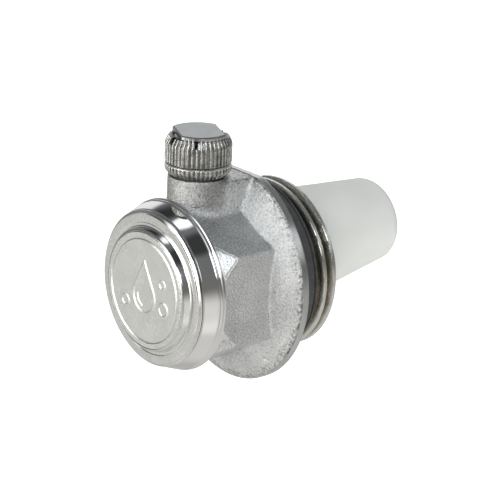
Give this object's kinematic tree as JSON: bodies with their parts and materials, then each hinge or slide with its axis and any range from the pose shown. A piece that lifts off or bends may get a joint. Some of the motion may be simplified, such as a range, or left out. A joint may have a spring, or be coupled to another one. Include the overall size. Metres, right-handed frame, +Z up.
{
  "type": "automatic air vent",
  "caption": "Automatic radiator air vent: hexagon body with a threaded spigot, round screwed front cover, knurled vent knob and a white float on a lever.",
  "frame": {"origin": "on the main axis, in the plane where the sealing ring ends and the free thread of the spigot starts", "axes": "+Y along the main axis, out of the spigot towards the float; the cover faces -Y; +Z up through the vent knob"},
  "size_m": [0.0426, 0.0586, 0.0506],
  "materials": {
    "satin_chrome": "chrome plating over a blasted forging, satin",
    "polished_chrome": "polished chrome plating",
    "black_rubber": "moulded EPDM, matt",
    "bare_brass": "turned brass",
    "copper": "soft copper",
    "cellulose": "pressed cellulose fibre",
    "natural_plastic": "natural acetal",
    "white_plastic": "moulded polypropylene, satin white",
    "stainless_steel": "pressed and turned stainless steel"
  },
  "bodies": {
    "valve_body": {"body": "satin_chrome", "port_seal": "black_rubber", "knob_o_ring": "black_rubber", "vent_nozzle": "bare_brass", "nozzle_washer": "copper", "stem_guide": "natural_plastic", "stem_spring": "stainless_steel", "pivot_bracket": "stainless_steel", "bracket_screws": "stainless_steel", "hinge_pin": "stainless_steel", "pin_clips": "stainless_steel"},
    "float_lever": {"lever_arm": "stainless_steel", "arm_rivet": "stainless_steel", "float_shell": "white_plastic", "float_end_cap": "white_plastic"},
    "shutter": {"shutter_stem": "stainless_steel", "shutter_pad": "black_rubber"},
    "disc_pack": {"disc_carrier": "bare_brass", "hygroscopic_discs": "cellulose"},
    "vent_cap": {"vent_knob": "polished_chrome", "knob_top_plate": "polished_chrome"},
    "cover_ring": {"cover_o_ring": "black_rubber"},
    "cover": {"front_cover": "polished_chrome"}
  },
  "joints": [
    {"name": "float_pivot", "type": "hinge", "parent": "valve_body", "child": "float_lever", "pos_m": [0, -0.02255, 0.0046], "axis": [1, 0, 0], "range_deg": [-8, 0]},
    {"name": "shutter_slide", "type": "slide", "parent": "valve_body", "child": "shutter", "axis": [0, 0, 1], "range_m": [-0.00085, 0], "deforming": ["stem_spring"]},
    {"name": "knob_lift", "type": "slide", "parent": "valve_body", "child": "disc_pack", "axis": [0, 0, 1], "range_m": [0, 0.00112]},
    {"name": "knob_turn", "type": "hinge", "parent": "disc_pack", "child": "vent_cap", "pos_m": [0, -0.01655, 0.021], "axis": [0, 0, 1], "range_deg": [0, 540]},
    {"name": "cover_travel", "type": "slide", "parent": "valve_body", "child": "cover_ring", "axis": [0, -1, 0], "range_m": [0, 0.0042]},
    {"name": "cover_turn", "type": "hinge", "parent": "cover_ring", "child": "cover", "pos_m": [0, -0.025, 0], "axis": [0, -1, 0], "range_deg": [0, 1512]}
  ],
  "couplings": [
    {"joint": "shutter_slide", "follows": "float_pivot", "m_per_rad": 0.006},
    {"joint": "knob_turn", "follows": "knob_lift", "rad_per_m": 8377.6},
    {"joint": "cover_turn", "follows": "cover_travel", "rad_per_m": 6283.2}
  ]
}
